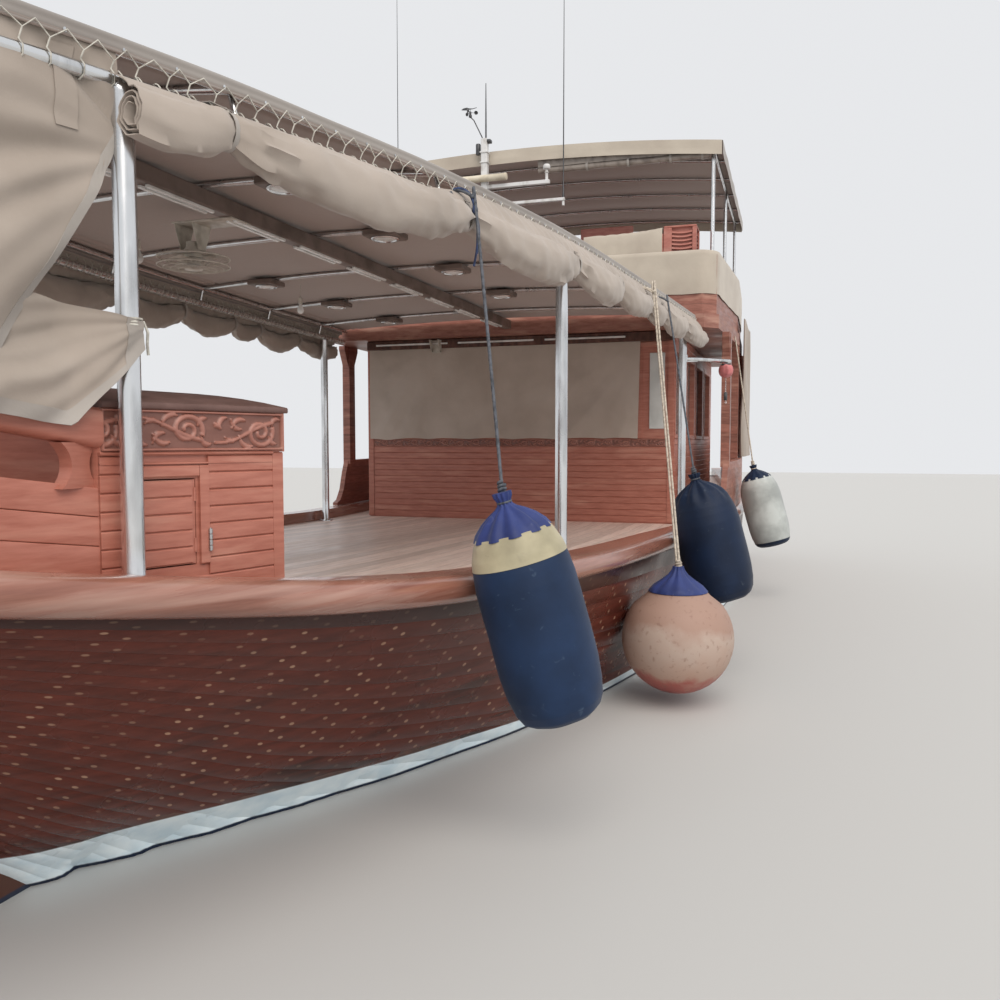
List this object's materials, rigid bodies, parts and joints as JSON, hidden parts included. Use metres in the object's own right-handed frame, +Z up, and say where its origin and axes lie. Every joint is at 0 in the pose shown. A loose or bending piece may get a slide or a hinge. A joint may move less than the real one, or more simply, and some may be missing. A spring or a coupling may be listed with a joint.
{
  "type": "wooden motor dhow",
  "caption": "Wooden motor dhow with a raked stem, canvas awning over an open deck, low bow house, aft house with an upper steering deck, hanging fenders and a slewing davit.",
  "frame": {"origin": "on the centreline, amidships, at the height of the waterline", "axes": "+X to the bow, +Y to port, +Z up"},
  "size_m": [19.105, 6.3907, 9.6],
  "materials": {
    "topside_varnish": "dark glossy varnish over planking, weathered",
    "house_timber": "reddish brown varnish, satin and sun faded",
    "cap_timber": "orange brown varnish, glossy with worn patches",
    "deck_plank": "dull, scuffed planks",
    "dark_timber": "dark, near matt",
    "beige_canvas": "woven canvas, matt",
    "polished_steel": "polished stainless pipe",
    "bronze": "cast bronze, dull",
    "iron": "painted grey casting",
    "white_paint": "white gloss paint",
    "navy_cover": "navy knitted cover",
    "orange_vinyl": "sun faded vinyl",
    "white_vinyl": "white vinyl with blue ends",
    "faded_red": "sun faded red enamel",
    "window_glass": "grey green tinted glass"
  },
  "bodies": {
    "root": {"hull": "topside_varnish", "engine_block": "iron", "backbone": "dark_timber", "gunwale_port": "cap_timber", "gunwale_stbd": "cap_timber", "main_deck": "deck_plank", "taffrail": "house_timber", "bow_house_walls": "house_timber", "bow_house_roof": "dark_timber", "bow_bulwark_port": "house_timber", "bow_bulwark_stbd": "house_timber", "mooring_bitts": "dark_timber", "cabin_front": "house_timber", "cabin_port": "house_timber", "cabin_stbd": "house_timber", "cabin_aft": "house_timber", "glass_front": "window_glass", "glass_port": "window_glass", "glass_stbd": "window_glass", "upper_deck": "house_timber", "upper_bulwark": "house_timber", "dodger": "beige_canvas", "aft_bulwark_port": "house_timber", "aft_bulwark_stbd": "house_timber", "ladder": "polished_steel", "awning_frame": "polished_steel", "awning_canvas": "beige_canvas", "side_curtain_port": "beige_canvas", "side_curtain_stbd": "beige_canvas", "bow_curtain": "beige_canvas", "front_window_canvas": "beige_canvas", "fan_cage": "white_paint", "upper_awning_frame": "polished_steel", "upper_awning_canvas": "beige_canvas", "steering_station": "dark_timber", "dash_cover": "beige_canvas", "instrument_mast": "white_paint", "whip_mast": "iron", "whip_deck": "iron", "fender_1": "navy_cover", "fender_2": "orange_vinyl", "fender_3": "navy_cover", "fender_4": "white_vinyl", "davit_pillar": "polished_steel"},
    "propeller_body": {"propeller": "bronze"},
    "rudder_body": {"rudder": "dark_timber"},
    "helm_body": {"helm_wheel": "dark_timber"},
    "bow_door_body": {"bow_house_door": "house_timber"},
    "cabin_door_body": {"cabin_door": "house_timber"},
    "fan_body": {"fan_blades": "white_paint"},
    "wind_body": {"wind_cups": "iron"},
    "davit_body": {"davit_arm": "polished_steel", "hoist": "faded_red"}
  },
  "joints": [
    {"name": "propeller_spin", "type": "hinge", "parent": "root", "child": "propeller_body", "pos_m": [-8.13, 0, -0.78], "axis": [1, 0, 0], "continuous": true},
    {"name": "rudder_turn", "type": "hinge", "parent": "root", "child": "rudder_body", "pos_m": [-8.795, 0, 0], "axis": [-0.1772, 0, 0.9842], "range_deg": [-35, 35]},
    {"name": "helm_turn", "type": "hinge", "parent": "root", "child": "helm_body", "pos_m": [-2.54, 1.46, 4.48], "axis": [1, 0, 0], "range_deg": [-350, 350]},
    {"name": "bow_door_swing", "type": "hinge", "parent": "root", "child": "bow_door_body", "pos_m": [6.046, 1.09902, 1.625], "axis": [0, 0, 1], "range_deg": [0, 95]},
    {"name": "cabin_door_swing", "type": "hinge", "parent": "root", "child": "cabin_door_body", "pos_m": [-7.25, -0.392, 1.56], "axis": [0, 0, 1], "range_deg": [0, 110]},
    {"name": "fan_spin", "type": "hinge", "parent": "root", "child": "fan_body", "pos_m": [4.1, -0.33, 3.37], "axis": [0, 0, 1], "continuous": true},
    {"name": "wind_cups_spin", "type": "hinge", "parent": "root", "child": "wind_body", "pos_m": [-2.06, -0.58, 6.47], "axis": [0, 0, 1], "continuous": true},
    {"name": "davit_slew", "type": "hinge", "parent": "root", "child": "davit_body", "pos_m": [-1.37, 2.31276, 3.13], "axis": [0, 0, 1], "range_deg": [-60, 35]}
  ],
  "couplings": [
    {"joint": "helm_turn", "follows": "rudder_turn", "ratio": 10}
  ]
}
